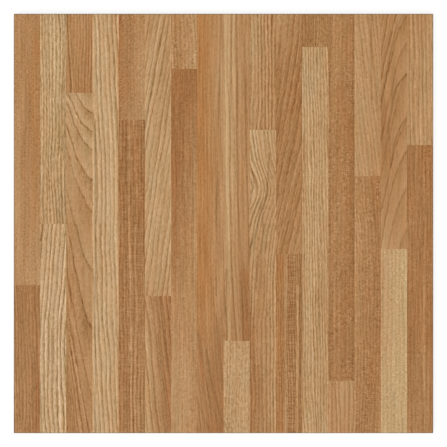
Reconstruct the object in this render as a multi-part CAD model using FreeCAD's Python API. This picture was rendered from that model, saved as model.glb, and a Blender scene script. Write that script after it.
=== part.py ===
"""Square glazed floor tile, pressed and fired as one piece.

Millimetres. The tile lies face up: +Z is up, +Y runs along the printed boards and the origin is the middle
of the bedding side, on the plane that the tile rests on.
"""

import FreeCAD, Part
import math
import os

# Face and body
TILE_SIDE = 333.0
THICKNESS = 8.0
CORNER_RADIUS = 0.7  # of the upright corners, seen from above
ARRIS_RADIUS = 0.5  # rounding where the glazed face turns over the edge

# Edge: upright under the arris, then leaning in towards the bedding side, as the press leaves it
UPRIGHT_BAND = 4.5
EDGE_LEAN = 0.6
FOOT_CORNER_RADIUS = 0.4

# Bedding side: shallow pockets between raised ribs, which key the tile into its adhesive
BACK_BORDER = 7.0  # least width of the flat band round the pockets
RIB_WIDTH = 4.8
POCKET_SIZE = 22.0  # across the mouth
POCKET_CORNER_CUT = 3.6  # how much of each side a slanted corner takes
POCKET_DEPTH = 0.8
POCKET_WALL_RUN = 0.9  # how far a sloping wall comes in on its way to the pocket's floor

QUARTER_TURNS = [0, 90, 180, 270]
UP = FreeCAD.Vector(0, 0, 1)


def ring_of_points(corner_points, height):
    """The points of one corner, repeated at all four corners, as a list for each corner."""
    corners = []
    for degrees in QUARTER_TURNS:
        turn = FreeCAD.Rotation(UP, degrees)
        corners.append([turn.multVec(FreeCAD.Vector(x, y, height)) for x, y in corner_points])
    return corners


def rounded_square(side, radius, height):
    """A closed wire round the Z axis: a square with round corners."""
    half = side / 2
    straight = half - radius
    bulge = straight + radius / math.sqrt(2)
    corners = ring_of_points([(half, straight), (bulge, bulge), (straight, half)], height)
    edges = []
    for corner, next_corner in zip(corners, corners[1:] + corners[:1]):
        edges.append(Part.Arc(*corner).toShape())
        edges.append(Part.makeLine(corner[-1], next_corner[0]))
    return Part.Wire(edges)


def cut_corner_square(side, corner_cut, height):
    """A closed wire round the Z axis: a square whose corners are cut off at 45 degrees."""
    half = side / 2
    corners = ring_of_points([(half, half - corner_cut), (half - corner_cut, half)], height)
    points = [point for corner in corners for point in corner]
    return Part.makePolygon(points + points[:1])


def pressed_blank():
    """The body without its back relief: leaning foot, upright band and rounded arris."""
    band_foot = THICKNESS - UPRIGHT_BAND
    foot = rounded_square(TILE_SIDE - 2 * EDGE_LEAN, FOOT_CORNER_RADIUS, 0)
    waist = rounded_square(TILE_SIDE, CORNER_RADIUS, band_foot)
    leaning_part = Part.makeLoft([foot, waist], True, True)
    upright_part = Part.Face(waist).extrude(UP * UPRIGHT_BAND)
    blank = leaning_part.fuse(upright_part)
    face_height = blank.BoundBox.ZMax - ARRIS_RADIUS
    face_edges = [edge for edge in blank.Edges if min(end.Z for end in edge.Vertexes) > face_height]
    return blank.makeFillet(ARRIS_RADIUS, face_edges)


def pocket():
    """The hollow of one pocket, centred on the Z axis, with walls of one slope all round."""
    floor_side = POCKET_SIZE - 2 * POCKET_WALL_RUN
    floor_corner_cut = POCKET_CORNER_CUT - POCKET_WALL_RUN * (2 - math.sqrt(2))
    mouth = cut_corner_square(POCKET_SIZE, POCKET_CORNER_CUT, 0)
    floor = cut_corner_square(floor_side, floor_corner_cut, POCKET_DEPTH)
    return Part.makeLoft([mouth, floor], True, True)


def pocket_grid():
    """As many pockets as fit inside the border of the foot, evenly spaced and centred."""
    pitch = POCKET_SIZE + RIB_WIDTH
    room = TILE_SIDE - 2 * EDGE_LEAN - 2 * BACK_BORDER
    count = int((room + RIB_WIDTH) // pitch)
    first = -pitch * (count - 1) / 2
    hollow = pocket()
    grid = []
    for row in range(count):
        for column in range(count):
            place = FreeCAD.Vector(first + pitch * column, first + pitch * row, 0)
            grid.append(hollow.translated(place))
    return grid


def tile():
    return pressed_blank().cut(pocket_grid()).removeSplitter()


def main():
    os.makedirs("parts", exist_ok=True)
    shape = tile()
    shape.exportStep("parts/tile.step")
    print("tile:", len(shape.Solids), "solid,", len(shape.Faces), "faces, valid", shape.isValid())
    print("volume", round(shape.Volume), "mm3,", shape.BoundBox)


main()
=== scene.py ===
import math
from dataclasses import dataclass, field
from functools import partial, reduce

import bmesh
import bpy
import numpy as np
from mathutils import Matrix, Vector


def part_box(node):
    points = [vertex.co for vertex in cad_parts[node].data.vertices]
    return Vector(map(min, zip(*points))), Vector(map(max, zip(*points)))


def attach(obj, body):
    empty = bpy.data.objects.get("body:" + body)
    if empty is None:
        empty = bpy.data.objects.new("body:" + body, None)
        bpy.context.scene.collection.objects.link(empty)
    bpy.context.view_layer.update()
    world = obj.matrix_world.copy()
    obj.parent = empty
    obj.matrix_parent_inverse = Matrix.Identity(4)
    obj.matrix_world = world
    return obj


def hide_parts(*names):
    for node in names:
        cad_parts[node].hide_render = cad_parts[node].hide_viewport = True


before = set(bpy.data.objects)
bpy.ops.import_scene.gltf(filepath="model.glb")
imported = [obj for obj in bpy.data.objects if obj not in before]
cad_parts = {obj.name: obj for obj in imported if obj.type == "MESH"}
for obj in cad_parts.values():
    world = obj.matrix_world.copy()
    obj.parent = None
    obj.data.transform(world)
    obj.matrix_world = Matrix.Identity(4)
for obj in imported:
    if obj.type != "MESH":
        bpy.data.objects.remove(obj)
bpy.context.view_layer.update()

# The tile lies face up. Metres, apart from the print and its patterns, which are in millimetres.
MM = 0.001
LOW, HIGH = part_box("tile")
SIDE = HIGH[0] - LOW[0]
FACE_HEIGHT = HIGH[2]

# Edge, as in the solid
ARRIS_RADIUS = 0.5 * MM
CORNER_RADIUS = 0.7 * MM
UPRIGHT_BAND = 4.5 * MM
EDGE_LEAN = 0.6 * MM
WAIST = FACE_HEIGHT - UPRIGHT_BAND  # where the upright band ends and the sides lean in

# Back relief, as in the solid
BACK_BORDER = 7.0 * MM
RIB_WIDTH = 4.8 * MM
POCKET_SIZE = 22.0 * MM
POCKET_CORNER_CUT = 3.6 * MM
POCKET_DEPTH = 0.8 * MM
POCKET_WALL_RUN = 0.9 * MM

# How finely the mesh is divided
CELLS_PER_STRIP = 32
ROW_LENGTH = 3.2 * MM
ARRIS_STEPS = 5
CORNER_STEPS = 4
SHARP_ANGLE = math.radians(30)

# The print: equal strips side by side, each with one board or two of them end to end
STRIPS = 16
STRIP = SIDE / STRIPS / MM
END = SIDE / MM  # where each strip's last board ends
RIM = 0.4  # how far from a board's side a streak along it runs
OGIVE_BEND = 1.5  # 1 would leave arched rings straight, and more bends them over


def srgb(red, green, blue):
    """A colour given in the usual 0 to 255, as the linear numbers that shaders take."""
    shares = [value / 255 for value in (red, green, blue)]
    return tuple(v / 12.92 if v <= 0.04045 else ((v + 0.055) / 1.055) ** 2.4 for v in shares)


# Stains of the printed boards, from the palest to the darkest, and the tints of single streaks in them
SAND = srgb(201, 165, 123)
STRAW = srgb(197, 160, 116)
FLAX = srgb(194, 160, 113)
WHEAT = srgb(191, 151, 106)
HONEY = srgb(184, 141, 94)
OAK = srgb(179, 132, 83)
TAN = srgb(171, 123, 73)
AMBER = srgb(175, 118, 60)
CHESTNUT = srgb(164, 113, 62)
RUSSET = srgb(157, 104, 51)
CREAM = srgb(214, 180, 130)
BLUSH = srgb(208, 162, 112)
MOSS = srgb(170, 140, 86)
RUST = srgb(166, 98, 40)
UMBER = srgb(134, 90, 36)
OLIVE = srgb(128, 98, 52)


def along(values, share):
    """A smooth curve through values that are evenly spaced from a board's far end (0) to its near end (1)."""
    values = np.array(values if len(values) > 1 else [*values, *values], float)
    place = np.clip(share, 0, 1) * (len(values) - 1)
    before = np.minimum(place.astype(int), len(values) - 2)
    part = (place - before).reshape(-1, *[1] * (values.ndim - 1))
    ends = [2 * values[0] - values[1]], values, [2 * values[-1] - values[-2]]
    # Between b and c the curve's slopes follow their neighbours a and d
    a, b, c, d = (np.concatenate(ends)[before + k] for k in range(4))
    return b + part / 2 * (c - a + part * (2 * a - 5 * b + 4 * c - d + part * (3 * (b - c) + d - a)))


def straight(pitch, *shifts):
    """Growth rings that run along the board, this far apart, and drift sideways by the shifts."""

    def rings(x, down, share):
        place = x - along(shifts or (0,), share)
        return place / pitch, place

    return rings


def ogives(*arcs):
    """Rings that leave the board's left side and turn to its right one.

    Each arc says where its ring meets the right side, and by how much farther off it left the left side, or
    nearer by, where that is below 0.
    """

    def rings(x, down, share):
        bend = np.clip(1 - x / STRIP, 0, 1) ** OGIVE_BEND
        lines = [there - length * bend for there, length in arcs]
        steps = [np.clip((down - a) / (b - a), 0, 1) for a, b in zip(lines, lines[1:])]
        return sum(steps), x

    return rings


@dataclass
class Streak:
    """One line or band of another tint, on a path of evenly spaced distances from its board's side."""

    path: tuple
    tint: tuple
    opacity: float
    width: float = 0.7
    span: tuple = ()  # from where to where, counted from the tile's far edge, if not the whole board


@dataclass
class Board:
    """One printed board. Millimetres, counted from the tile's far edge and the board's left side."""

    column: int
    start: float
    end: float
    stains: list  # (left, right) at even steps from the far end to the near one
    rings: object  # straight(...) or ogives(...)
    lines: float = 0.5  # how strong the rings' lines are
    pores: float = 0.4
    silk: float = 0.4  # how strong the long fine strands are
    mottle: float = 0.3
    rays: tuple = (0, 0, 0)  # how strong the ticks are, and from where to where across the board
    streaks: list = field(default_factory=list)


LEFT_RIM = (RIM,)
RIGHT_RIM = (STRIP - RIM,)

BOARDS = [
    Board(
        1, 0, 215.3, [(OAK, TAN), (TAN, TAN), (OAK, HONEY)], straight(3.0), lines=0.2, silk=0.4, mottle=0.65,
        streaks=[
            Streak((17, 17, 16), AMBER, 0.4, 3.0, span=(0, 180)),
            Streak((3.2, 2.8, 4), CREAM, 0.22, 3.0, span=(60, 215)),
            Streak((1.5,), TAN, 0.6, 2.5, span=(0, 70)),
        ],
    ),
    Board(
        1, 215.3, END, [(CHESTNUT, CHESTNUT), (TAN, CHESTNUT), (TAN, CHESTNUT)], straight(2.4, 0, 2, 3),
        lines=0.65, silk=0.5, mottle=0.38,
        streaks=[
            Streak((14, 16, 17), UMBER, 0.35, 0.8, span=(262, END)),
            Streak((19, 18.5), RUST, 0.35, 1.2, span=(285, 320)),
        ],
    ),
    Board(
        2, 0, 166.9, [(STRAW, SAND), (STRAW, STRAW), (WHEAT, WHEAT)], straight(2.6, 2.3, 2.6, 2.6, 1.9, 2.6),
        lines=1.05, pores=0.9,
        streaks=[
            Streak((19.8, 19.4, 19.3, 19.8), OLIVE, 0.5, 0.7),
            Streak((15.5, 16, 16), MOSS, 0.2, 2.0),
            Streak((15, 15.5), CREAM, 0.25, 8, span=(0, 66)),
            Streak((2.5,), HONEY, 0.4, 4, span=(60, 105)),
            Streak((2.5,), HONEY, 0.5, 4, span=(125, 190)),
            Streak((16.6,), UMBER, 0.25, 0.8),
            Streak(LEFT_RIM, BLUSH, 0.4, 0.6),
        ],
    ),
    Board(
        2, 166.9, END, [(WHEAT, STRAW), (SAND, SAND), (STRAW, STRAW)],
        straight(3.45, 2.8, 0.3, -1.9, -3.5, -3.3, -1.7), lines=1.5, pores=0.65, mottle=0.45,
        streaks=[
            Streak(RIGHT_RIM, CREAM, 0.5, 0.7),
            Streak((9.3, 9.6, 9.2, 10.4), OLIVE, 0.4, 0.7, span=(250, 325)),
        ],
    ),
    Board(
        3, 0, 62.9, [(TAN, OAK), (TAN, CHESTNUT)], straight(2.4, 1), lines=0.6, silk=0.6, mottle=0.35,
        streaks=[
            Streak((1.0, 1.6, 2.8, 4.3), UMBER, 0.75, 0.9),
            Streak((2.2, 2.9, 4.1, 5.6), BLUSH, 0.4, 0.8),
            Streak((9,), BLUSH, 0.15, 4.5),
            Streak((0.5, 0.7), BLUSH, 0.3, 0.6),
        ],
    ),
    Board(
        3, 62.9, END,
        [(WHEAT, WHEAT), (HONEY, WHEAT), (HONEY, OAK), (OAK, HONEY), (OAK, OAK), (OAK, OAK), (OAK, TAN)],
        ogives(
            (40, 20), (60, 24), (78, 28), (94, 34), (108, 40), (133, 46), (157, 52), (203, 62), (250, 86),
            (304, 112), (340, 132), (371, 149), (400, 163), (428, 176), (455, 188), (482, 200), (508, 211),
        ),
        lines=1.1, pores=0.4, silk=0.35, mottle=0.4,
        streaks=[
            Streak((17, 18), MOSS, 0.25, 3.0, span=(70, 128)),
            Streak((18, 17), MOSS, 0.35, 3.0, span=(180, 205)),
            Streak((8.0, 9.6, 11.7, 15.0, 20.5), UMBER, 0.5, 0.8, span=(166, 204)),
            Streak((2.3, 4.4, 7.3, 10.5, 14.9, 20.8), UMBER, 0.35, 0.8, span=(175, 250)),
        ],
    ),
    Board(
        4, 0, END, [(STRAW, WHEAT), (STRAW, STRAW), (STRAW, STRAW), (STRAW, WHEAT)],
        straight(3.5, 1.2, 3.4, 6.2, 6.6, 8.0, 10.5, 13.0), lines=1.15, pores=0.5,
        streaks=[
            Streak(LEFT_RIM, BLUSH, 0.6, 0.8),
            Streak((2.5, 2.5, 2.4, 2.7), OLIVE, 0.45, 0.7, span=(85, END)),
            Streak((8,), WHEAT, 0.9, 2.8, span=(90, 235)),
            Streak((16.5,), WHEAT, 0.6, 4, span=(180, 225)),
            Streak((19.6,), BLUSH, 0.6, 1.3),
        ],
    ),
    Board(
        5, 0, 84.3, [(CHESTNUT, OAK), (CHESTNUT, HONEY)], straight(3.0), lines=0.2, silk=0.15, mottle=0.8,
        streaks=[Streak((0.5, 0.4), RUST, 0.5, 1.2)],
    ),
    Board(
        5, 84.3, END, [(CHESTNUT, CHESTNUT), (CHESTNUT, CHESTNUT), (CHESTNUT, TAN), (CHESTNUT, TAN)],
        straight(2.8, 1), lines=0.6, silk=0.6, mottle=0.55, rays=(0.35, 0, STRIP),
        streaks=[
            Streak((8.6, 8.4, 8.7, 9.3, 9.6, 9.8), BLUSH, 0.6, 0.9),
            Streak((12.6, 12.8, 13.2, 13.6), BLUSH, 0.3, 0.8),
            Streak((6.9, 6.8, 7.1, 7.7, 8.0, 8.2), UMBER, 0.35, 0.7),
            Streak((10.3, 10.3, 10.7, 11.2, 11.4), UMBER, 0.3, 0.7),
            Streak((17.4,), UMBER, 0.3, 0.8),
            Streak((20, 20), UMBER, 0.3, 1.0),
        ],
    ),
    Board(
        6, 0, 224, [(HONEY, HONEY), (WHEAT, HONEY), (WHEAT, WHEAT), (WHEAT, WHEAT), (HONEY, HONEY)],
        straight(4.0, 0.6, -7.7, -15.9, -22.7, -28.7, -34.2),
        lines=0.95, pores=0.6, silk=0.3, mottle=0.2,
        streaks=[Streak(LEFT_RIM, BLUSH, 0.4, 0.6), Streak(RIGHT_RIM, CREAM, 0.4, 0.6)],
    ),
    Board(
        6, 224, END, [(TAN, CHESTNUT), (HONEY, CHESTNUT), (HONEY, CHESTNUT)], straight(4.3, 0, 4, 8, 12),
        lines=1.0, silk=0.4, mottle=0.45,
        streaks=[
            Streak((12.2, 13.8, 16.0, 17.8), UMBER, 0.65, 0.9, span=(224, 285)),
            Streak((10.4, 13.0, 16.2, 17.6), UMBER, 0.65, 0.9, span=(255, END)),
            Streak((19.3, 19.6), UMBER, 0.5, 0.8, span=(224, 245)),
            Streak((18, 19, 18.5), RUST, 0.15, 2.2),
            Streak((1.2, 1.5, 3), BLUSH, 0.4, 1.5),
        ],
    ),
    Board(
        7, 0, 43.8, [(TAN, HONEY), (TAN, HONEY)], straight(3.0, 0, 3), lines=0.45, silk=0.2, mottle=0.85,
        streaks=[Streak((1.5, 1.0), BLUSH, 0.4, 0.8)],
    ),
    Board(
        7, 43.8, END,
        [
            (RUSSET, RUSSET), (RUSSET, CHESTNUT), (RUSSET, TAN), (CHESTNUT, OAK), (TAN, OAK), (OAK, OAK),
            (HONEY, OAK), (HONEY, OAK),
        ],
        straight(3.4, 0, 0.5, 0), lines=0.2, silk=0.6, mottle=0.5,
        streaks=[
            Streak((2.4,), RUST, 0.25, 1.6, span=(100, 235)),
            Streak((17.8,), OLIVE, 0.45, 0.8, span=(80, 275)),
            Streak((18.6,), BLUSH, 0.2, 1.4, span=(105, 260)),
        ],
    ),
    Board(
        8, 0, END,
        [
            (AMBER, OAK), (AMBER, HONEY), (AMBER, OAK), (AMBER, OAK), (AMBER, OAK), (TAN, CHESTNUT),
            (CHESTNUT, RUSSET),
        ],
        straight(3.2, 2, 2, 2, 4, 12), lines=0.3, silk=0.7, mottle=0.2,
        streaks=[
            Streak((4.5, 5, 4.5), AMBER, 0.3, 3.5, span=(0, 230)),
            Streak((18.9, 17.0, 15.4, 15.0), UMBER, 0.5, 0.8, span=(0, 225)),
            Streak((1, 3, 6), RUST, 0.35, 1.8, span=(250, 305)),
            Streak((0, 2.6, 5.5, 8.6, 13.5, 18.5), UMBER, 0.6, 0.9, span=(250, END)),
            Streak((7.2, 10.2, 14.4, 20.2), UMBER, 0.65, 0.9, span=(265, 325)),
            Streak((15, 16, 17.5, 20.1), UMBER, 0.5, 0.9, span=(240, 290)),
            Streak((-0.5, 4.5, 11), UMBER, 0.5, 0.9, span=(304, END)),
        ],
    ),
    Board(
        9, 0, 259.7, [(HONEY, OAK), (HONEY, OAK), (OAK, OAK), (CHESTNUT, CHESTNUT)],
        straight(3.4, 0, 1, 2.5, 6), lines=0.45, silk=0.4, mottle=0.15,
        streaks=[
            Streak((6.4, 5.6, 4.9, 6.2, 10.4), UMBER, 0.4, 0.8),
            Streak((10.4, 10.6, 10.8, 13.9, 16), UMBER, 0.55, 0.9),
            Streak((14.8, 17, 19, 20.5), UMBER, 0.45, 0.9, span=(0, 200)),
            Streak((2.8, 2.6, 3.6, 3.8), CREAM, 0.5, 2.2),
            Streak((17, 18), RUSSET, 0.9, 3.5, span=(190, 275)),
            Streak((8, 7.8, 8, 9, 12), CREAM, 0.25, 1.8),
            Streak((2.5,), TAN, 0.3, 3, span=(175, 280)),
            Streak((2.2, 2.5), UMBER, 0.55, 0.8, span=(204, 262)),
        ],
    ),
    Board(
        9, 259.7, END, [(WHEAT, WHEAT), (WHEAT, WHEAT)], straight(2.6, 0, -1),
        lines=0.35, pores=0.7, mottle=0.65,
    ),
    Board(10, 0, 92.2, [(WHEAT, OAK), (HONEY, OAK)], straight(2.9, 1), lines=1.05, pores=0.6, silk=0.4),
    Board(
        10, 92.2, END,
        [(STRAW, WHEAT), (WHEAT, HONEY), (HONEY, HONEY), (OAK, HONEY), (CHESTNUT, HONEY), (CHESTNUT, HONEY)],
        straight(2.9, -1, 2, 8.5, 1.5, -2.5, -4, -4.5, -4.7, -4.7, -4.7, -4.7),
        lines=0.85, pores=0.6, silk=0.5,
        streaks=[
            Streak(RIGHT_RIM, BLUSH, 0.4, 0.9),
            Streak((15.2, 14.8, 13.5, 10.3, 10.6, 8.4, 6, 5), UMBER, 0.5, 0.9, span=(110, 220)),
            Streak((10, 6, 0.5), OLIVE, 0.5, 1.1, span=(150, 186)),
            Streak((3, 2), STRAW, 0.35, 4, span=(130, 170)),
            Streak((2,), CHESTNUT, 0.6, 4, span=(222, 268)),
            Streak((10.4,), TAN, 0.5, 6, span=(190, 236)),
            Streak((0.6, 2.6, 3.2, 2.6, 0.6), UMBER, 0.5, 0.7, span=(122, 144)),
        ],
    ),
    Board(
        11, 0, 190.7, [(HONEY, TAN), (TAN, CHESTNUT), (CHESTNUT, TAN), (TAN, TAN), (TAN, OAK)],
        straight(4.5, 1.2, -4.2, -11.5, -21.5, -31.5), lines=0.65, pores=0.6, silk=0.5,
        streaks=[Streak(RIGHT_RIM, UMBER, 0.3, 0.6)],
    ),
    Board(
        11, 190.7, END, [(CHESTNUT, TAN), (CHESTNUT, TAN), (CHESTNUT, TAN)], straight(1.9),
        lines=0.75, silk=0.6, mottle=0.5, rays=(0.8, 8.8, 15.5),
        streaks=[
            Streak((3.2,), AMBER, 0.5, 4.5),
            Streak((7.8,), WHEAT, 0.5, 1.4),
            Streak((15.4, 15.3, 14.3), UMBER, 0.4, 0.9),
            Streak((17.2, 17.1, 16.4), BLUSH, 0.7, 0.9, span=(215, END)),
            Streak((19.2, 19.1, 18.7), UMBER, 0.65, 1.2),
        ],
    ),
    Board(
        12, 0, 26.4, [(CHESTNUT, TAN), (CHESTNUT, TAN)], straight(2.2),
        lines=0.6, pores=0.9, silk=0.6, mottle=0.55,
        streaks=[Streak((10.4,), MOSS, 0.2, 14)],
    ),
    Board(
        12, 26.4, END, [(STRAW, WHEAT), (STRAW, WHEAT), (STRAW, HONEY), (WHEAT, WHEAT)],
        straight(2.3, 0.5, 2.2, 3.6, 4.8, 6.5), lines=1.15, pores=0.6,
        streaks=[Streak((1.0,), HONEY, 0.8, 2.5, span=(85, END)), Streak((20.0,), BLUSH, 0.4, 0.8)],
    ),
    Board(
        13, 0, 291.5, [(TAN, TAN), (TAN, CHESTNUT), (TAN, CHESTNUT), (CHESTNUT, CHESTNUT)],
        straight(3.0, 2, 1.5, 1.5, 1), lines=0.35, silk=0.2, mottle=0.8,
        streaks=[
            Streak((19.8,), UMBER, 0.45, 1.5),
            Streak((1.0,), UMBER, 0.3, 1.4),
            Streak((4.4,), BLUSH, 0.2, 0.8),
        ],
    ),
    Board(13, 291.5, END, [(OAK, HONEY), (OAK, OAK)], straight(3.3, 2.5), lines=0.8, silk=0.5),
    Board(
        14, 0, 128.8, [(HONEY, OAK), (HONEY, HONEY), (HONEY, OAK)], straight(3.0, 1, 5.7, 10.3, 15),
        lines=0.35, silk=0.4, mottle=0.4,
        streaks=[Streak((0.6,), BLUSH, 0.4, 0.8), Streak((13.4,), UMBER, 0.4, 0.8, span=(0, 70))],
    ),
    Board(
        14, 128.8, END, [(OAK, CHESTNUT), (OAK, CHESTNUT), (TAN, CHESTNUT), (CHESTNUT, TAN)],
        straight(2.6, 0.8, 4.7, 2.6), lines=0.4, silk=0.2, mottle=0.82,
        streaks=[Streak(LEFT_RIM, BLUSH, 0.4, 0.8)],
    ),
    Board(
        15, 0, 186.8, [(TAN, TAN), (TAN, OAK), (CHESTNUT, OAK), (TAN, OAK), (HONEY, OAK)],
        ogives(*[(there, -76) for there in (-92, -68, -44, -20, 0, 24, 49, 83, 108, 137, 171, 205, 240)]),
        lines=0.75, pores=0.3, silk=0.4, mottle=0.15,
        streaks=[
            Streak((1.2, 1.8), UMBER, 0.3, 2.5, span=(55, 125)),
            Streak((18.5, 12.3, 9.5, 6.9, 4.9, 3.0), UMBER, 0.5, 1.0, span=(0, 60)),
            Streak((21, 14.5, 11, 9, 7.8, 6.6, 5.5), UMBER, 0.75, 1.2, span=(47, 95)),
            Streak((21, 15.5, 12.2, 10.2, 8.6, 7.5), UMBER, 0.75, 1.2, span=(82, 122)),
        ],
    ),
    Board(
        15, 186.8, END, [(WHEAT, FLAX), (WHEAT, FLAX), (FLAX, FLAX)], straight(3.2, 2), lines=0.3, silk=0.3,
        mottle=0.72,
        streaks=[
            Streak((2.4, 1.2, 0), HONEY, 0.6, 3.5, span=(186, 240)),
            Streak(LEFT_RIM, BLUSH, 0.4, 1.0),
            Streak(RIGHT_RIM, CREAM, 0.4, 0.8),
        ],
    ),
    Board(
        16, 0, 104.2, [(OAK, HONEY), (HONEY, HONEY), (HONEY, HONEY)], straight(3.2, 1.5, 3.3),
        lines=0.72, silk=0.5,
        streaks=[Streak((7.8,), OAK, 0.7, 3.5, span=(-20, 85)), Streak((13,), WHEAT, 0.4, 3, span=(20, 85))],
    ),
    Board(
        16, 104.2, END, [(CHESTNUT, RUSSET), (CHESTNUT, CHESTNUT), (CHESTNUT, CHESTNUT), (TAN, TAN)],
        straight(3.0, 0.5), lines=0.3, silk=0.7, mottle=0.45,
        streaks=[
            Streak(LEFT_RIM, UMBER, 0.3, 0.8),
            Streak((12.7, 13.5), BLUSH, 0.35, 0.8, span=(185, 300)),
            Streak((13, 14), OAK, 0.5, 3.5, span=(250, END)),
            Streak((7.5,), TAN, 0.6, 4, span=(90, 155)),
        ],
    ),
]


def across_lines():
    """Where the printed face is divided from left to right: evenly, also at the strips' sides."""
    flat_end = SIDE / 2 - ARRIS_RADIUS
    lines = np.linspace(-SIDE / 2, SIDE / 2, STRIPS * CELLS_PER_STRIP + 1)
    inner = lines[np.abs(lines) < flat_end - ARRIS_RADIUS / 2]
    return [-flat_end, *inner, flat_end]


def along_lines():
    """Where it is divided from near to far: at every board's end, and evenly between those."""
    flat_end = SIDE / 2 - ARRIS_RADIUS
    joints = {SIDE / 2 - board.start * MM for board in BOARDS if board.start > 0}
    stops = sorted([-flat_end, *joints, flat_end])
    lines = [stops[0]]
    for start, end in zip(stops, stops[1:]):
        steps = math.ceil((end - start) / ROW_LENGTH)
        lines += [start + (end - start) * step / steps for step in range(1, steps + 1)]
    return lines


def rim_stations(xs, ys):
    """Points round the flat face, anticlockwise from above.

    Each is given as its place in the grid, its place on the tile and its outward direction.
    """
    tangent = CORNER_RADIUS - ARRIS_RADIUS
    last_i, last_j = len(xs) - 1, len(ys) - 1
    right = [((last_i, j), (xs[-1], ys[j]), (1, 0)) for j in range(1, last_j)]
    far = [((i, last_j), (xs[i], ys[-1]), (0, 1)) for i in reversed(range(1, last_i))]
    left = [((0, j), (xs[0], ys[j]), (-1, 0)) for j in reversed(range(1, last_j))]
    near = [((i, 0), (xs[i], ys[0]), (0, -1)) for i in range(1, last_i)]
    corners = [(last_i, last_j), (0, last_j), (0, 0), (last_i, 0)]
    stations = []
    for quarter, (side, (i, j)) in enumerate(zip([right, far, left, near], corners)):
        stations += side
        centre_x = xs[i] - math.copysign(tangent, xs[i])
        centre_y = ys[j] - math.copysign(tangent, ys[j])
        for step in range(CORNER_STEPS + 1):
            angle = math.pi / 2 * (quarter + step / CORNER_STEPS)
            way = (math.cos(angle), math.sin(angle))
            stations.append(((i, j), (centre_x + tangent * way[0], centre_y + tangent * way[1]), way))
    return stations


def edge_profile():
    """The edge's section from the face down to the foot: how far out it stands, and its height."""
    profile = []
    for step in range(1, ARRIS_STEPS + 1):
        angle = math.pi / 2 * step / ARRIS_STEPS
        drop = ARRIS_RADIUS * (1 - math.cos(angle))
        profile.append((ARRIS_RADIUS * math.sin(angle), FACE_HEIGHT - drop))
    return profile + [(ARRIS_RADIUS, WAIST), (ARRIS_RADIUS - EDGE_LEAN, 0.0)]


def add_face_grid(mesh, xs, ys, stations, rim):
    """The printed face: a grid whose border is the rim, with the rim's arcs at its four corners."""
    grid = {}
    for (key, _, _), vertex in zip(stations, rim):
        grid.setdefault(key, []).append(vertex)
    for i, x in enumerate(xs[1:-1], 1):
        for j, y in enumerate(ys[1:-1], 1):
            grid[i, j] = [mesh.verts.new((x, y, FACE_HEIGHT))]
    for i in range(len(xs) - 1):
        for j in range(len(ys) - 1):
            around = [(i, j), (i + 1, j), (i + 1, j + 1), (i, j + 1)]
            mesh.faces.new([vertex for key in around for vertex in grid[key]])


def add_edge(mesh, stations, rim):
    """The arris and the sides, as rings of faces from the rim down. Returns the foot's ring of vertices."""
    upper = rim
    for out, height in edge_profile():
        lower = [mesh.verts.new((x + out * wx, y + out * wy, height)) for _, (x, y), (wx, wy) in stations]
        for k in range(len(stations)):
            after = (k + 1) % len(stations)
            mesh.faces.new((upper[k], lower[k], lower[after], upper[after]))
        upper = lower
    return upper


def octagon(centre, side, corner_cut, height):
    """The points of a square with cut corners, anticlockwise from above."""
    half, short = side / 2, side / 2 - corner_cut
    turns = [(half, -short), (half, short), (short, half), (-short, half)]
    points = turns + [(-x, -y) for x, y in turns]
    return [(centre[0] + x, centre[1] + y, height) for x, y in points]


def add_pockets(mesh):
    """The walls and floors of the back's pockets. Returns the edges of their mouths."""
    pitch = POCKET_SIZE + RIB_WIDTH
    room = SIDE - 2 * EDGE_LEAN - 2 * BACK_BORDER
    count = int((room + RIB_WIDTH) // pitch)
    first = -pitch * (count - 1) / 2
    floor_side = POCKET_SIZE - 2 * POCKET_WALL_RUN
    floor_cut = POCKET_CORNER_CUT - POCKET_WALL_RUN * (2 - math.sqrt(2))
    mouth_edges = []
    for row in range(count):
        for column in range(count):
            centre = (first + pitch * column, first + pitch * row)
            mouth = [mesh.verts.new(p) for p in octagon(centre, POCKET_SIZE, POCKET_CORNER_CUT, 0.0)]
            floor = [mesh.verts.new(p) for p in octagon(centre, floor_side, floor_cut, POCKET_DEPTH)]
            for k in range(len(mouth)):
                after = (k + 1) % len(mouth)
                wall = mesh.faces.new((mouth[k], mouth[after], floor[after], floor[k]))
                mouth_edges.append(mesh.edges.get((mouth[k], mouth[after])))
                wall.smooth = False
            mesh.faces.new(floor[::-1]).smooth = False
    return mouth_edges


def add_back(mesh, foot):
    """The bedding side: border and rib tops in one plane, with the pockets sunk into it."""
    foot_edges = [mesh.edges.get((foot[k], foot[(k + 1) % len(foot)])) for k in range(len(foot))]
    edges = foot_edges + add_pockets(mesh)
    bmesh.ops.triangle_fill(mesh, edges=edges, use_beauty=True, use_dissolve=False, normal=(0, 0, -1))


def tile_mesh():
    """The whole tile as one closed mesh."""
    mesh = bmesh.new()
    xs, ys = across_lines(), along_lines()
    stations = rim_stations(xs, ys)
    rim = [mesh.verts.new((x, y, FACE_HEIGHT)) for _, (x, y), _ in stations]
    add_face_grid(mesh, xs, ys, stations, rim)
    foot = add_edge(mesh, stations, rim)
    add_back(mesh, foot)
    bmesh.ops.recalc_face_normals(mesh, faces=mesh.faces)
    for face in mesh.faces:
        face.smooth = face.calc_center_median().z > WAIST
    data = bpy.data.meshes.new("printed_tile")
    mesh.to_mesh(data)
    mesh.free()
    data.set_sharp_from_angle(angle=SHARP_ANGLE)
    return data


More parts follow.
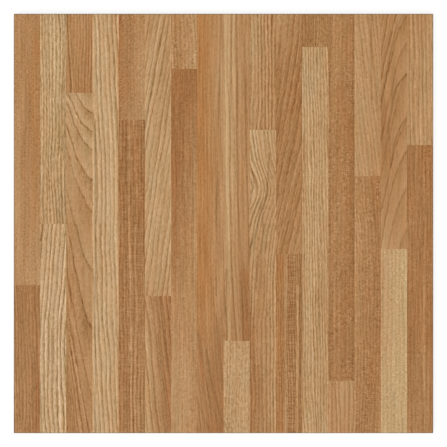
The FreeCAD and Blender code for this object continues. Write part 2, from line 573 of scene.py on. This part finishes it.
def corner_values(mesh):
    """Of each face corner: how far across and down the print it lies, its height, and its face's number."""
    count = len(mesh.loops)
    vertex = np.empty(count, np.int32)
    mesh.loops.foreach_get("vertex_index", vertex)
    places = np.empty(len(mesh.vertices) * 3, np.float32)
    mesh.vertices.foreach_get("co", places)
    places = places.reshape(-1, 3)[vertex]
    totals = np.empty(len(mesh.polygons), np.int32)
    mesh.polygons.foreach_get("loop_total", totals)
    face = np.repeat(np.arange(len(mesh.polygons)), totals)
    across = (places[:, 0] + SIDE / 2) / MM
    down = (SIDE / 2 - places[:, 1]) / MM
    return across, down, places[:, 2], face


def mean_on_face(face, values):
    """The mean of the values over each corner's face."""
    return (np.bincount(face, values) / np.bincount(face))[face]


def board_of_corners(middle_across, middle_down):
    """Which board each corner's face lies on, by the middle of that face."""
    column = np.clip(middle_across // STRIP, 0, STRIPS - 1) + 1
    found = np.zeros(len(column), int)
    for index, board in enumerate(BOARDS):
        found[(column == board.column) & (middle_down >= board.start)] = index
    return found


def smooth(share):
    """A soft step from 0 to 1."""
    share = np.clip(share, 0, 1)
    return share * share * (3 - 2 * share)


def blend(a, b, share):
    return a + (np.asarray(b) - a) * share[:, None]


THIN = 1.3  # a streak up to this wide is drawn by the material, a wider one by the stain
FAR_AWAY = 99.0  # stands for the distance to a streak where there is none
TICK_FADE = 2.0  # over how much of the board's width the ticks set in and end
PROBE = 0.1  # how far apart two points lie when the rings between them are counted
WIDEST_RING = 14.0  # rings count as no farther apart than this


def share_along(streak, board, down):
    """How far along a streak points lie: 0 at its far end, 1 at its near end."""
    first, last = streak.span or (board.start, board.end)
    return (down - first) / (last - first)


def right_of(streak, board, x, down):
    """How far points lie to the right of a streak's middle."""
    return x - along(streak.path, share_along(streak, board, down))


def stain_of(board, x, down):
    """The board's colour at each point, with its wide streaks."""
    share = (down - board.start) / (board.end - board.start)
    stains = along(board.stains, share)
    colour = blend(stains[:, 0], stains[:, 1], smooth(x / STRIP))
    for streak in board.streaks:
        if streak.width > THIN:
            first, last = streak.span or (board.start - STRIP, board.end + STRIP)
            ends = smooth((down - first) / STRIP) * smooth((last - down) / STRIP)
            sides = np.exp(-((right_of(streak, board, x, down) / streak.width) ** 2))
            colour = blend(colour, streak.tint, ends * streak.opacity * sides)
    return colour


def ticks_of(board, x):
    """How strong the ticks across the fibres are at each point."""
    strength, first, last = board.rays
    return strength * smooth((x - first) / TICK_FADE + 0.5) * smooth((last - x) / TICK_FADE + 0.5)


def thin_streaks_of(board, x, down, middle_x, middle_down):
    """The thin streak that is nearest to the middle of each corner's face.

    Gives the corner's distance from it with its width and opacity, and its tint.
    """
    place = np.tile((FAR_AWAY, 1.0, 0.0), (len(x), 1))
    tint = np.ones((len(x), 3))
    nearest = np.full(len(x), FAR_AWAY)
    for streak in board.streaks:
        if streak.width <= THIN:
            share = share_along(streak, board, middle_down)
            distance = np.abs(right_of(streak, board, middle_x, middle_down))
            closer = (share >= 0) & (share <= 1) & (distance < nearest)
            nearest[closer] = distance[closer]
            place[closer, 0] = right_of(streak, board, x, down)[closer]
            place[closer, 1:] = (streak.width, streak.opacity)
            tint[closer] = streak.tint
    return place, tint


def rings_of(board, x, down):
    """At each point: the ring's number, the distance across the fibres, and how far apart the rings lie."""

    def value(x, down):
        return board.rings(x, down, (down - board.start) / (board.end - board.start))

    number, fibre = value(x, down)
    slope = np.hypot(value(x + PROBE, down)[0] - number, value(x, down + PROBE)[0] - number) / PROBE
    return number, fibre, 1 / np.maximum(slope, 1 / WIDEST_RING)


def paint_boards(mesh):
    """Writes each board's growth rings, stain and figure to the corners of its faces."""
    across, down, _, face = corner_values(mesh)
    middle_across, middle_down = mean_on_face(face, across), mean_on_face(face, down)
    board_index = board_of_corners(middle_across, middle_down)
    grain, figure, fleck, streak = (np.zeros((len(face), 3)) for _ in range(4))
    stain, streak_tint = np.ones((len(face), 4)), np.ones((len(face), 4))
    for index, board in enumerate(BOARDS):
        here = np.nonzero(board_index == index)[0]
        left = (board.column - 1) * STRIP
        x, y = across[here] - left, down[here]
        number, fibre, spacing = rings_of(board, x, y)
        grain[here] = np.stack([number, fibre, np.full(len(here), index)], 1)
        figure[here] = (board.lines, board.pores, board.silk)
        fleck[here] = np.stack([np.full(len(here), board.mottle), ticks_of(board, x), spacing], 1)
        stain[here, :3] = stain_of(board, x, y)
        middle = middle_across[here] - left, middle_down[here]
        streak[here], streak_tint[here, :3] = thin_streaks_of(board, x, y, *middle)
    for name, kind, key, values in (
        ("grain", "FLOAT_VECTOR", "vector", grain),
        ("figure", "FLOAT_VECTOR", "vector", figure),
        ("fleck", "FLOAT_VECTOR", "vector", fleck),
        ("streak", "FLOAT_VECTOR", "vector", streak),
        ("stain", "FLOAT_COLOR", "color", stain),
        ("streak_tint", "FLOAT_COLOR", "color", streak_tint),
    ):
        attribute = mesh.attributes.new(name, kind, "CORNER")
        attribute.data.foreach_set(key, values.astype(np.float32).ravel())


# Where the parts of the tile lie in the bake map: left, low, right, high
FACE_AREA = (0.004, 0.300, 0.996, 0.996)
BACK_AREA = (0.004, 0.004, 0.680, 0.280)
SIDES_AREA = (0.700, 0.004, 0.996, 0.280)
ROW_MARGIN = 0.05  # of each side's row in the sides' area
ROWS = 4
LEVEL = 0.0005 * MM  # how far below the top a face may lie on average and still be the printed one


def within(area, u, v):
    """The places in the map of shares from left to right and from low to high in an area."""
    left, low, right, high = area
    return np.stack([left + u * (right - left), low + v * (high - low)], 1)


def way_down(drop):
    """How far down the edge's section a point lies, measured along the arris and the side."""
    turned = np.arccos(1 - np.clip(drop / ARRIS_RADIUS, 0, 1))
    return ARRIS_RADIUS * turned + np.maximum(drop - ARRIS_RADIUS, 0)


def side_places(across, down, height, nx, ny):
    """Places in the map of corners on the sides: a row for each side, from the face to the foot."""
    sideways = np.abs(nx) > np.abs(ny)
    along_side = np.where(sideways, down, across) / END
    row = np.where(sideways, nx > 0, 2 + (ny > 0))
    depth = way_down(FACE_HEIGHT - height) / way_down(FACE_HEIGHT)
    return within(SIDES_AREA, along_side, (row + ROW_MARGIN + (1 - 2 * ROW_MARGIN) * depth) / ROWS)


def add_bake_map(mesh):
    """Most of the bake map goes to the printed face, the rest to the back and the four sides."""
    across, down, height, face = corner_values(mesh)
    normals = np.empty(len(mesh.polygons) * 3, np.float32)
    mesh.polygons.foreach_get("normal", normals)
    nx, ny, _ = normals.reshape(-1, 3)[face].T
    mean_height = mean_on_face(face, height)
    on_face = mean_height > FACE_HEIGHT - LEVEL
    off_centre = np.maximum(np.abs(across - END / 2), np.abs(down - END / 2))
    least_off_centre = np.full(len(mesh.polygons), np.inf)
    np.minimum.at(least_off_centre, face, off_centre)
    by_edge = least_off_centre[face] > (SIDE / 2 - EDGE_LEAN - CORNER_RADIUS) / MM
    on_side = by_edge & (mean_height > 0) & ~on_face

    places = within(BACK_AREA, across / END, down / END)
    places[on_face] = within(FACE_AREA, across / END, 1 - down / END)[on_face]
    places[on_side] = side_places(across, down, height, nx, ny)[on_side]
    layer = mesh.uv_layers.new(name="OFBake")
    layer.data.foreach_set("uv", places.astype(np.float32).ravel())


class Nodes:
    """The node tree of a material or a world, with short ways to add what its patterns need."""

    def __init__(self, owner, shader="Principled BSDF"):
        owner.use_nodes = True
        self.tree = owner.node_tree
        self.shader = self.tree.nodes[shader]

    def set(self, name, value):
        """Gives an input of the shader a plain value or another node's result."""
        self.feed(self.shader.inputs[name], value)

    def add(self, kind, inputs=(), **settings):
        node = self.tree.nodes.new(kind)
        for name, value in settings.items():
            setattr(node, name, value)
        for key, value in dict(inputs).items():
            self.feed(node.inputs[key], value)
        return node

    def feed(self, socket, value):
        if isinstance(value, bpy.types.NodeSocket):
            self.tree.links.new(value, socket)
        else:
            socket.default_value = value

    def math(self, operation, *values, clamp=False):
        return self.add("ShaderNodeMath", enumerate(values), operation=operation, use_clamp=clamp).outputs[0]

    def plus(self, *values):
        return reduce(partial(self.math, "ADD"), values)

    def minus(self, value, less):
        return self.math("SUBTRACT", value, less)

    def times(self, *values):
        return reduce(partial(self.math, "MULTIPLY"), values)

    def over(self, value, divisor):
        return self.math("DIVIDE", value, divisor)

    def vector_math(self, operation, *values):
        return self.add("ShaderNodeVectorMath", enumerate(values), operation=operation).outputs[0]

    def scaled(self, vector, factor):
        return self.add("ShaderNodeVectorMath", {0: vector, "Scale": factor}, operation="SCALE").outputs[0]

    def gamma(self, colour, power):
        return self.add("ShaderNodeGamma", {"Color": colour, "Gamma": power}).outputs[0]

    def vector(self, x, y, z=0.0):
        return self.add("ShaderNodeCombineXYZ", enumerate((x, y, z))).outputs[0]

    def parts(self, vector):
        return self.add("ShaderNodeSeparateXYZ", {0: vector}).outputs

    def place(self):
        """The point's place on the tile, in metres."""
        return self.add("ShaderNodeTexCoord").outputs["Object"]

    def attribute(self, name, output="Vector"):
        return self.add("ShaderNodeAttribute", attribute_name=name).outputs[output]

    def noise(self, vector, detail=2.0, roughness=0.5):
        inputs = {"Vector": vector, "Scale": 1.0, "Detail": detail, "Roughness": roughness}
        return self.add("ShaderNodeTexNoise", inputs).outputs[0]

    def scale(self, value, low, high, to_low=0.0, to_high=1.0, kind="LINEAR"):
        """Maps low..high to to_low..to_high, and holds it there."""
        inputs = {0: value, 1: low, 2: high, 3: to_low, 4: to_high}
        return self.add("ShaderNodeMapRange", inputs, interpolation_type=kind).outputs[0]

    def mix(self, share, a, b, blend_type="MIX"):
        inputs = {0: share, 6: self.colour(a), 7: self.colour(b)}
        return self.add("ShaderNodeMix", inputs, data_type="RGBA", blend_type=blend_type).outputs[2]

    def colour(self, value):
        return value if isinstance(value, bpy.types.NodeSocket) else (*value, 1.0)

    def bump(self, height, depth):
        inputs = {"Height": height, "Strength": 1.0, "Distance": depth}
        return self.add("ShaderNodeBump", inputs).outputs[0]


# Kinds of marks along the fibres: their width across these and length along them in millimetres, what they
# come to at their weakest and strongest, and how many layers of noise they are made of
SLOW_SWAY = (12, 60, -1.2, 1.2, 2)
QUICK_SWAY = (2, 9, -0.3, 0.3, 2)
LINE_BREAKS = (0.7, 7, 0.3, 1.75, 3)
PORES = (0.55, 3.5, -0.7, 1.2, 1)
STRANDS = (0.7, 40, -0.65, 0.65, 3)
DASHES = (0.6, 2.2, -0.45, 0.45, 2)
CROSS_DASHES = (2.4, 1, -0.5, 0.5, 2)
PATCHES = (6, 14, 0.4, 1.6, 1)
SHADES = (6, 60, -0.16, 0.16, 1)
STREAK_SWAY = (3, 12, -0.3, 0.3, 2)
STREAK_BREAKS = (0.7, 6, 0.65, 1.1, 3)
WARMTH = (4, 25, 0, 1, 2)

# Ticks across the fibres
TICK_LENGTH = 9.0
TICK_WIDTH = 1.1
TICK_NOISE = (0.35, 0.65)
TICK_STRENGTH = (-0.5, 0.55)

NOISE_RANGE = (0.3, 0.7)  # noise hardly ever leaves this range
BOARD_STEP = 7.3  # how far apart in the noise the boards' patterns lie
RING_STEP = 31.7  # how far apart the boards' ring numbers lie, so that their rings' weights differ

# A growth ring: a dark line and then a pale one where rings are narrow, or a dark band where they are wide
LINE_RISE = 1.0  # how far before its middle the dark line begins
LINE_FALL = 0.7  # how far after it the line ends
LINE_POWER = 0.8  # below 1 the line is fuller than a plain wedge
PALE_PLACE = 1.3  # how far after it the middle of the pale line lies
PALE_REACH = 0.7  # to either side
PALE_STRENGTH = 0.55
WIDE_RINGS = (5, 9)  # the spacings from where a ring begins to count as wide to where it fully does
BAND_SHARE = 0.8  # of the ring's spacing
BAND_STRENGTH = (0.5, -0.15)  # at its start and end
RING_WEIGHTS = (0.4, 1.3)  # the rings' darkness differs by this much
STREAK_FADE = (0.2, 1.3)  # from where a thin streak fades to where it is gone, in widths from its middle


def fibre_marks(nodes):
    """A function that makes marks of a kind, which follow each board's fibres."""
    _, fibre, seed = nodes.parts(nodes.attribute("grain"))
    y = nodes.over(nodes.parts(nodes.place())[1], MM)
    layer = nodes.times(seed, BOARD_STEP)

    def marks(width, length, weakest, strongest, detail):
        where = nodes.vector(nodes.over(fibre, width), nodes.over(y, length), layer)
        return nodes.scale(nodes.noise(where, detail), *NOISE_RANGE, weakest, strongest)

    return marks


def ring_section(nodes, since, spacing):
    """How dark a growth ring is, this far past its line."""
    rise = nodes.scale(nodes.minus(spacing, since), 0, LINE_RISE, 1, 0)
    line = nodes.math("MAXIMUM", nodes.scale(since, 0, LINE_FALL, 1, 0), rise)
    wide = nodes.scale(spacing, *WIDE_RINGS)
    from_pale = nodes.math("ABSOLUTE", nodes.minus(since, PALE_PLACE))
    pale = nodes.times(nodes.scale(from_pale, 0, PALE_REACH, PALE_STRENGTH, 0), nodes.minus(1.0, wide))
    band = nodes.times(nodes.scale(nodes.over(since, spacing), 0, BAND_SHARE, *BAND_STRENGTH), wide)
    return nodes.minus(nodes.math("POWER", line, LINE_POWER), nodes.minus(pale, band))


def growth_rings(nodes, marks, lines, spacing):
    """How dark the growth rings are, each with a weight of its own and breaks along it."""
    ring, _, seed = nodes.parts(nodes.attribute("grain"))
    sway = nodes.plus(marks(*SLOW_SWAY), marks(*QUICK_SWAY))
    moved = nodes.plus(ring, nodes.over(sway, spacing))
    number = nodes.plus(nodes.math("FLOOR", moved), nodes.times(seed, RING_STEP))
    chance = nodes.add("ShaderNodeTexWhiteNoise", {"W": number}, noise_dimensions="1D").outputs[0]
    weight = nodes.scale(chance, 0, 1, *RING_WEIGHTS)
    section = ring_section(nodes, nodes.times(nodes.math("FRACT", moved), spacing), spacing)
    return nodes.times(section, weight, lines, marks(*LINE_BREAKS))


def ticks(nodes, strength):
    """Short marks across the fibres, as the wood's rays make them."""
    x, y, _ = nodes.parts(nodes.place())
    seed = nodes.parts(nodes.attribute("grain"))[2]
    across = nodes.over(nodes.over(x, MM), TICK_LENGTH)
    down = nodes.over(nodes.over(y, MM), TICK_WIDTH)
    noise = nodes.noise(nodes.vector(across, down, nodes.times(seed, BOARD_STEP)))
    return nodes.times(nodes.scale(noise, *TICK_NOISE, *TICK_STRENGTH), strength)


def grain_darkness(nodes, marks):
    """How dark the printed grain is."""
    lines, pores, silk = nodes.parts(nodes.attribute("figure"))
    mottle, rays, spacing = nodes.parts(nodes.attribute("fleck"))
    rings = growth_rings(nodes, marks, lines, spacing)
    pore = nodes.times(nodes.math("MAXIMUM", marks(*PORES), 0), pores)
    strand = nodes.times(marks(*STRANDS), silk)
    weave = nodes.plus(marks(*DASHES), marks(*CROSS_DASHES))
    blotch = nodes.times(weave, nodes.times(marks(*PATCHES), mottle))
    return nodes.plus(rings, pore, strand, blotch, ticks(nodes, rays), marks(*SHADES))


def streak_share(nodes, marks):
    """How much of the nearest thin streak's tint there is."""
    offset, width, opacity = nodes.parts(nodes.attribute("streak"))
    wander = nodes.math("ABSOLUTE", nodes.plus(offset, marks(*STREAK_SWAY)))
    share = nodes.scale(nodes.over(wander, width), *STREAK_FADE, 1, 0, kind="SMOOTHSTEP")
    return nodes.math("MULTIPLY", nodes.times(share, opacity), marks(*STREAK_BREAKS), clamp=True)


EYE_GAMMA = 2.2
GRAIN_INK = (0.122, 0.122, 0.134)  # what the darkest grain takes off each colour, in even steps to the eye
COOL_CAST = (0.97, 1.01, 1.04)
WARM_CAST = (1.03, 0.99, 0.95)


def printed_wood(nodes, marks, dark):
    """The boards' stain and thin streaks, now warmer and now cooler, less the grain's ink."""
    stain, tint = nodes.attribute("stain", "Color"), nodes.attribute("streak_tint", "Color")
    streaked = nodes.mix(streak_share(nodes, marks), stain, tint)
    cast = nodes.mix(marks(*WARMTH), COOL_CAST, WARM_CAST)
    tinted = nodes.mix(1.0, streaked, cast, "MULTIPLY")
    ink = nodes.scaled(GRAIN_INK, dark)
    even = nodes.vector_math("SUBTRACT", nodes.gamma(tinted, 1 / EYE_GAMMA), ink)
    return nodes.gamma(nodes.vector_math("MAXIMUM", even, (0.0, 0.0, 0.0)), EYE_GAMMA)


# The body: its two colours, its grit, and the wash on the rib tops
BISCUIT = srgb(206, 178, 146)
BISCUIT_DARK = srgb(176, 146, 116)
BISCUIT_ROUGHNESS = 0.9
BISCUIT_SPECULAR = 0.3
GRIT_NOISE = (4.0, 0.7)  # layers, and how strong the finer ones are
GRIT_RELIEF = 0.1 * MM
KILN_WASH = srgb(226, 215, 198)
WASH_HEIGHTS = (0.05 * MM, 0.15 * MM)  # up to where it is full, and where it ends
WASH_PATCHES = 160.0  # to the metre
WASH_NOISE = (5, 0.7)
WASH_WEAR = (0.3, 0.55, 0.1, 0.85)  # the noise's range, and how thick the wash is at its two ends


def grit_pattern(nodes):
    return nodes.noise(nodes.scaled(nodes.place(), 1 / MM), *GRIT_NOISE)


def biscuit_colour(nodes, grit):
    """The unglazed body: a warm buff with fine dark grit."""
    return nodes.mix(nodes.scale(grit, *NOISE_RANGE), BISCUIT_DARK, BISCUIT)


def biscuit():
    """The pressed back and the foot of the sides, with a thin pale wash on what touched the kiln rollers."""
    material = bpy.data.materials.new("biscuit")
    nodes = Nodes(material)
    grit = grit_pattern(nodes)
    touched = nodes.scale(nodes.parts(nodes.place())[2], *WASH_HEIGHTS, 1, 0)
    worn = nodes.scale(nodes.noise(nodes.scaled(nodes.place(), WASH_PATCHES), *WASH_NOISE), *WASH_WEAR)
    nodes.set("Base Color", nodes.mix(nodes.times(touched, worn), biscuit_colour(nodes, grit), KILN_WASH))
    nodes.set("Roughness", BISCUIT_ROUGHNESS)
    nodes.set("Specular IOR Level", BISCUIT_SPECULAR)
    nodes.set("Normal", nodes.bump(grit, GRIT_RELIEF))
    return material


# The glaze: satin on the face, duller over the edge and darkened there by painted shade, and ending on the
# sides
# Painted shade: a dark grey olive that stands for the shade on the rounded edge, put into the glaze's colour
# there
EDGE_PAINTED_SHADE = srgb(98, 94, 78)
EDGE_FADE = 0.02 * MM  # how far below the face the print has given way to the edge's colour
GLAZE_END = (2.4 * MM, 2.7 * MM)  # how far down, the wave added, it starts to thin and has ended
GLAZE_WAVE = 1.6 * MM
SATIN_ROUGHNESS = (0.36, 0.5)
SATIN_DARKS = (-0.4, 1.0)  # the grain's darkness at those two
FACE_SPECULAR = 0.35
EDGE_SPECULAR = 0.05
GRAIN_RELIEF = 0.02 * MM


def printed_glaze():
    """The glazed face, with the printed boards, and the glaze's slightly wavy end on the tile's sides."""
    material = bpy.data.materials.new("printed_glaze")
    nodes = Nodes(material)
    marks = fibre_marks(nodes)
    dark = grain_darkness(nodes, marks)
    drop = nodes.minus(FACE_HEIGHT, nodes.parts(nodes.place())[2])
    # Over the rounded edge the print gives way to the painted shade
    over_edge = nodes.scale(drop, 0, EDGE_FADE)
    glazed = nodes.mix(over_edge, printed_wood(nodes, marks, dark), EDGE_PAINTED_SHADE)
    wave = nodes.times(nodes.noise(nodes.place()), GLAZE_WAVE)
    past_glaze = nodes.scale(nodes.plus(drop, wave), *GLAZE_END, kind="SMOOTHSTEP")
    nodes.set("Base Color", nodes.mix(past_glaze, glazed, biscuit_colour(nodes, grit_pattern(nodes))))
    satin = nodes.scale(dark, *SATIN_DARKS, *SATIN_ROUGHNESS)
    nodes.set("Roughness", nodes.scale(past_glaze, 0, 1, satin, BISCUIT_ROUGHNESS))
    nodes.set("Specular IOR Level", nodes.scale(over_edge, 0, 1, FACE_SPECULAR, EDGE_SPECULAR))
    nodes.set("Normal", nodes.bump(nodes.times(dark, -1.0), GRAIN_RELIEF))
    return material


GLAZED, BARE = 0, 1  # the places of the tile's two materials


def add_tile():
    """The one piece of the scene, which stands for the whole tile."""
    mesh = tile_mesh()
    paint_boards(mesh)
    add_bake_map(mesh)
    mesh.materials.append(printed_glaze())
    mesh.materials.append(biscuit())
    for face in mesh.polygons:
        face.material_index = GLAZED if face.center.z > WAIST else BARE
    piece = bpy.data.objects.new("printed_tile", mesh)
    bpy.context.scene.collection.objects.link(piece)
    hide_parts("tile")
    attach(piece, "root")


WHITE = (1.0, 1.0, 1.0, 1.0)
FLOOR_SIDE = 12.0
FLOOR_GREY = 0.3
FLOOR_ROUGHNESS = 0.9
FLOOR_GLOW = 0.76


def seen(nodes):
    """1 where the camera sees a surface, also mirrored or through glass, and 0 where it just gives light."""
    path = nodes.add("ShaderNodeLightPath").outputs
    either = nodes.math("MAXIMUM", path["Is Camera Ray"], path["Is Glossy Ray"])
    return nodes.math("MAXIMUM", either, path["Is Transmission Ray"])


def add_floor():
    """A plain floor that looks almost white, but throws little light back at the tile."""
    mesh = bpy.data.meshes.new("studio_floor")
    half = FLOOR_SIDE / 2
    corners = [(-half, -half, LOW[2]), (half, -half, LOW[2]), (half, half, LOW[2]), (-half, half, LOW[2])]
    mesh.from_pydata(corners, [], [(0, 1, 2, 3)])
    floor = bpy.data.objects.new("studio_floor", mesh)
    bpy.context.scene.collection.objects.link(floor)
    material = bpy.data.materials.new("studio_floor")
    nodes = Nodes(material)
    nodes.set("Base Color", (FLOOR_GREY, FLOOR_GREY, FLOOR_GREY, 1.0))
    nodes.set("Roughness", FLOOR_ROUGHNESS)
    nodes.set("Emission Color", WHITE)
    nodes.set("Emission Strength", nodes.times(seen(nodes), FLOOR_GLOW))
    mesh.materials.append(material)


AMBIENT = 0.62
KEY_SHARE = 0.38
KEY_DIRECTION = Vector((0.45, 0.55, -1.0))
KEY_SOFTNESS = math.radians(50)


def add_world():
    """An even white room, which lights the tile less than it is bright."""
    world = bpy.data.worlds.new("studio")
    bpy.context.scene.world = world
    nodes = Nodes(world, "Background")
    nodes.set("Color", WHITE)
    nodes.set("Strength", nodes.scale(seen(nodes), 0, 1, AMBIENT, 1.0))


def add_key():
    """One wide soft light from the near left."""
    key = bpy.data.lights.new("key", "SUN")
    direction = KEY_DIRECTION.normalized()
    key.energy = KEY_SHARE * math.pi / -direction.z
    key.angle = KEY_SOFTNESS
    lamp = bpy.data.objects.new("key", key)
    lamp.rotation_mode = "QUATERNION"
    lamp.rotation_quaternion = direction.to_track_quat("-Z", "Y")
    bpy.context.scene.collection.objects.link(lamp)


SENSOR_WIDTH = 36.0
LENS = 200.0
TILE_SHARE_OF_FRAME = 0.9386  # across, as in the photograph


def add_camera():
    """Straight above the tile, through a long lens, so that the face fills the frame as in the photograph."""
    camera = bpy.data.cameras.new("camera")
    camera.sensor_width = SENSOR_WIDTH
    camera.lens = LENS
    frame_width = SIDE / TILE_SHARE_OF_FRAME
    distance = frame_width * LENS / SENSOR_WIDTH
    holder = bpy.data.objects.new("camera", camera)
    holder.location = (0.0, 0.0, FACE_HEIGHT + distance)
    bpy.context.scene.collection.objects.link(holder)
    bpy.context.scene.camera = holder


add_camera()
add_tile()
add_floor()
add_world()
add_key()
bpy.context.scene.view_settings.view_transform = "Standard"
